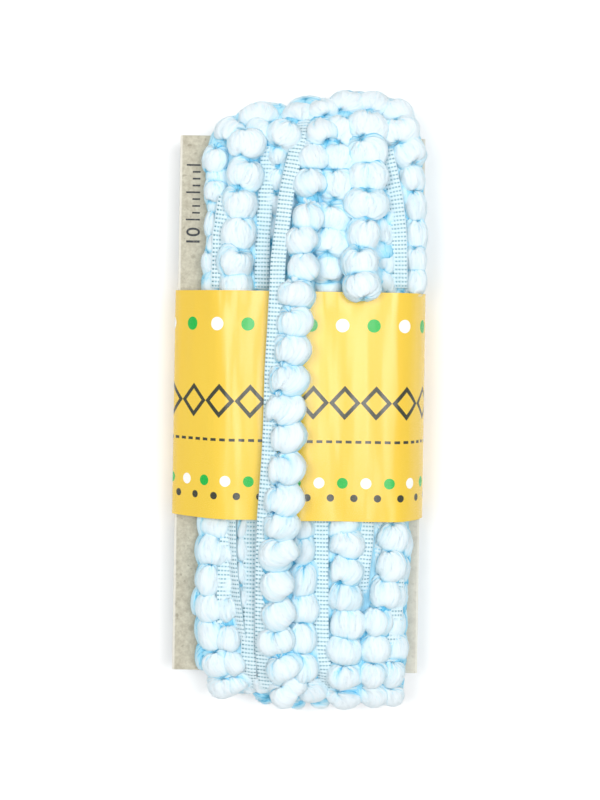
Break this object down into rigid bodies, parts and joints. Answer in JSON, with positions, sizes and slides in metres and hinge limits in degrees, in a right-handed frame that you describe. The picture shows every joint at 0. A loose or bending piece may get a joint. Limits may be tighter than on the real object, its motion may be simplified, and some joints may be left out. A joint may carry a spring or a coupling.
{
  "type": "pompom fringe trim",
  "caption": "Pale blue pompom fringe trim wound lengthwise on a chipboard card, held by a yellow paper band with the last turn lying over it.",
  "frame": {"origin": "middle of the footprint, on the flat back that it lies on", "axes": "+Y along the trim and the card, +X across to the right as seen from the front, +Z out of the front, towards the viewer"},
  "size_m": [0.091, 0.218, 0.0418],
  "materials": {
    "pale_blue_trim": "soft brushed yarn puffs on a thin woven heading tape",
    "chipboard": "grey-beige speckled chipboard, matt",
    "yellow_paper": "glossy yellow paper"
  },
  "bodies": {
    "root": {"wound_trim": "pale_blue_trim", "card": "chipboard", "label_band": "yellow_paper"}
  },
  "joints": []
}
